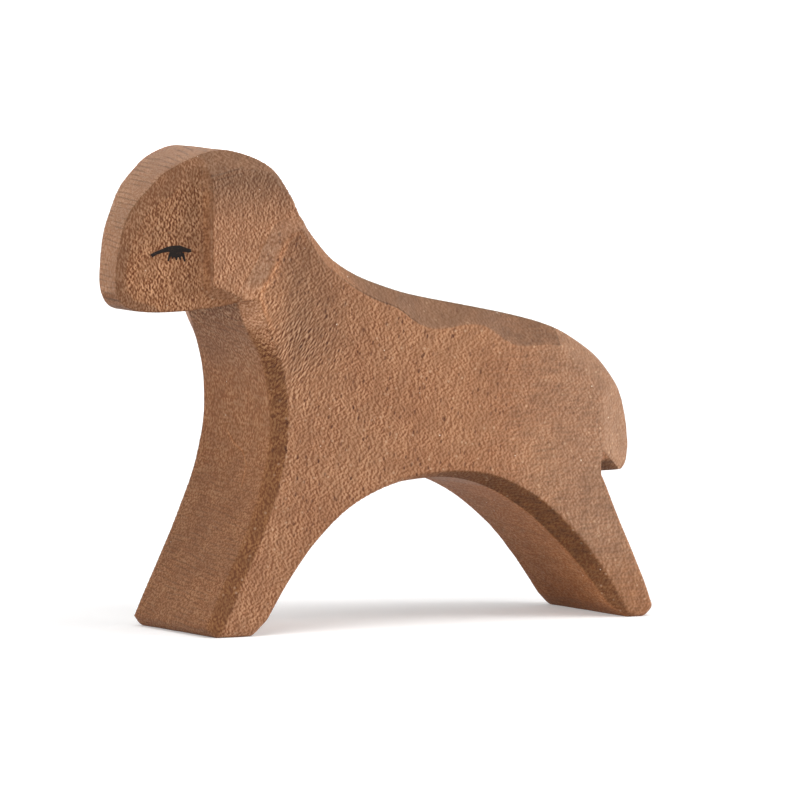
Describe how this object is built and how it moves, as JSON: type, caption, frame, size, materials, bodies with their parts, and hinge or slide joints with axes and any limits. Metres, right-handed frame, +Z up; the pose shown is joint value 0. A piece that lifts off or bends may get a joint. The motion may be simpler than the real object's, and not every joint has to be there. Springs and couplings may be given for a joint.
{
  "type": "carved wooden lamb figurine",
  "caption": "Standing lamb toy cut from one thick board, with knife-pared edges, hanging ears, a short tail, broad legs on either side of an arch, and painted closed eyes.",
  "frame": {"origin": "centre of the bounding box's bottom: midway from nose to heel, midway through the board, on the surface the feet stand on", "axes": "+Z up; the lamb faces -X, its left side is -Y and its right side is +Y"},
  "size_m": [0.0721, 0.021, 0.0601],
  "materials": {
    "stained_wood": "brown stain, matt, on wood with short dark flecks and knife facets",
    "black_paint": "matt black paint, brushed on in thin strokes"
  },
  "bodies": {
    "root": {"carved_body": "stained_wood", "left_painted_eye": "black_paint", "right_painted_eye": "black_paint"}
  },
  "joints": []
}
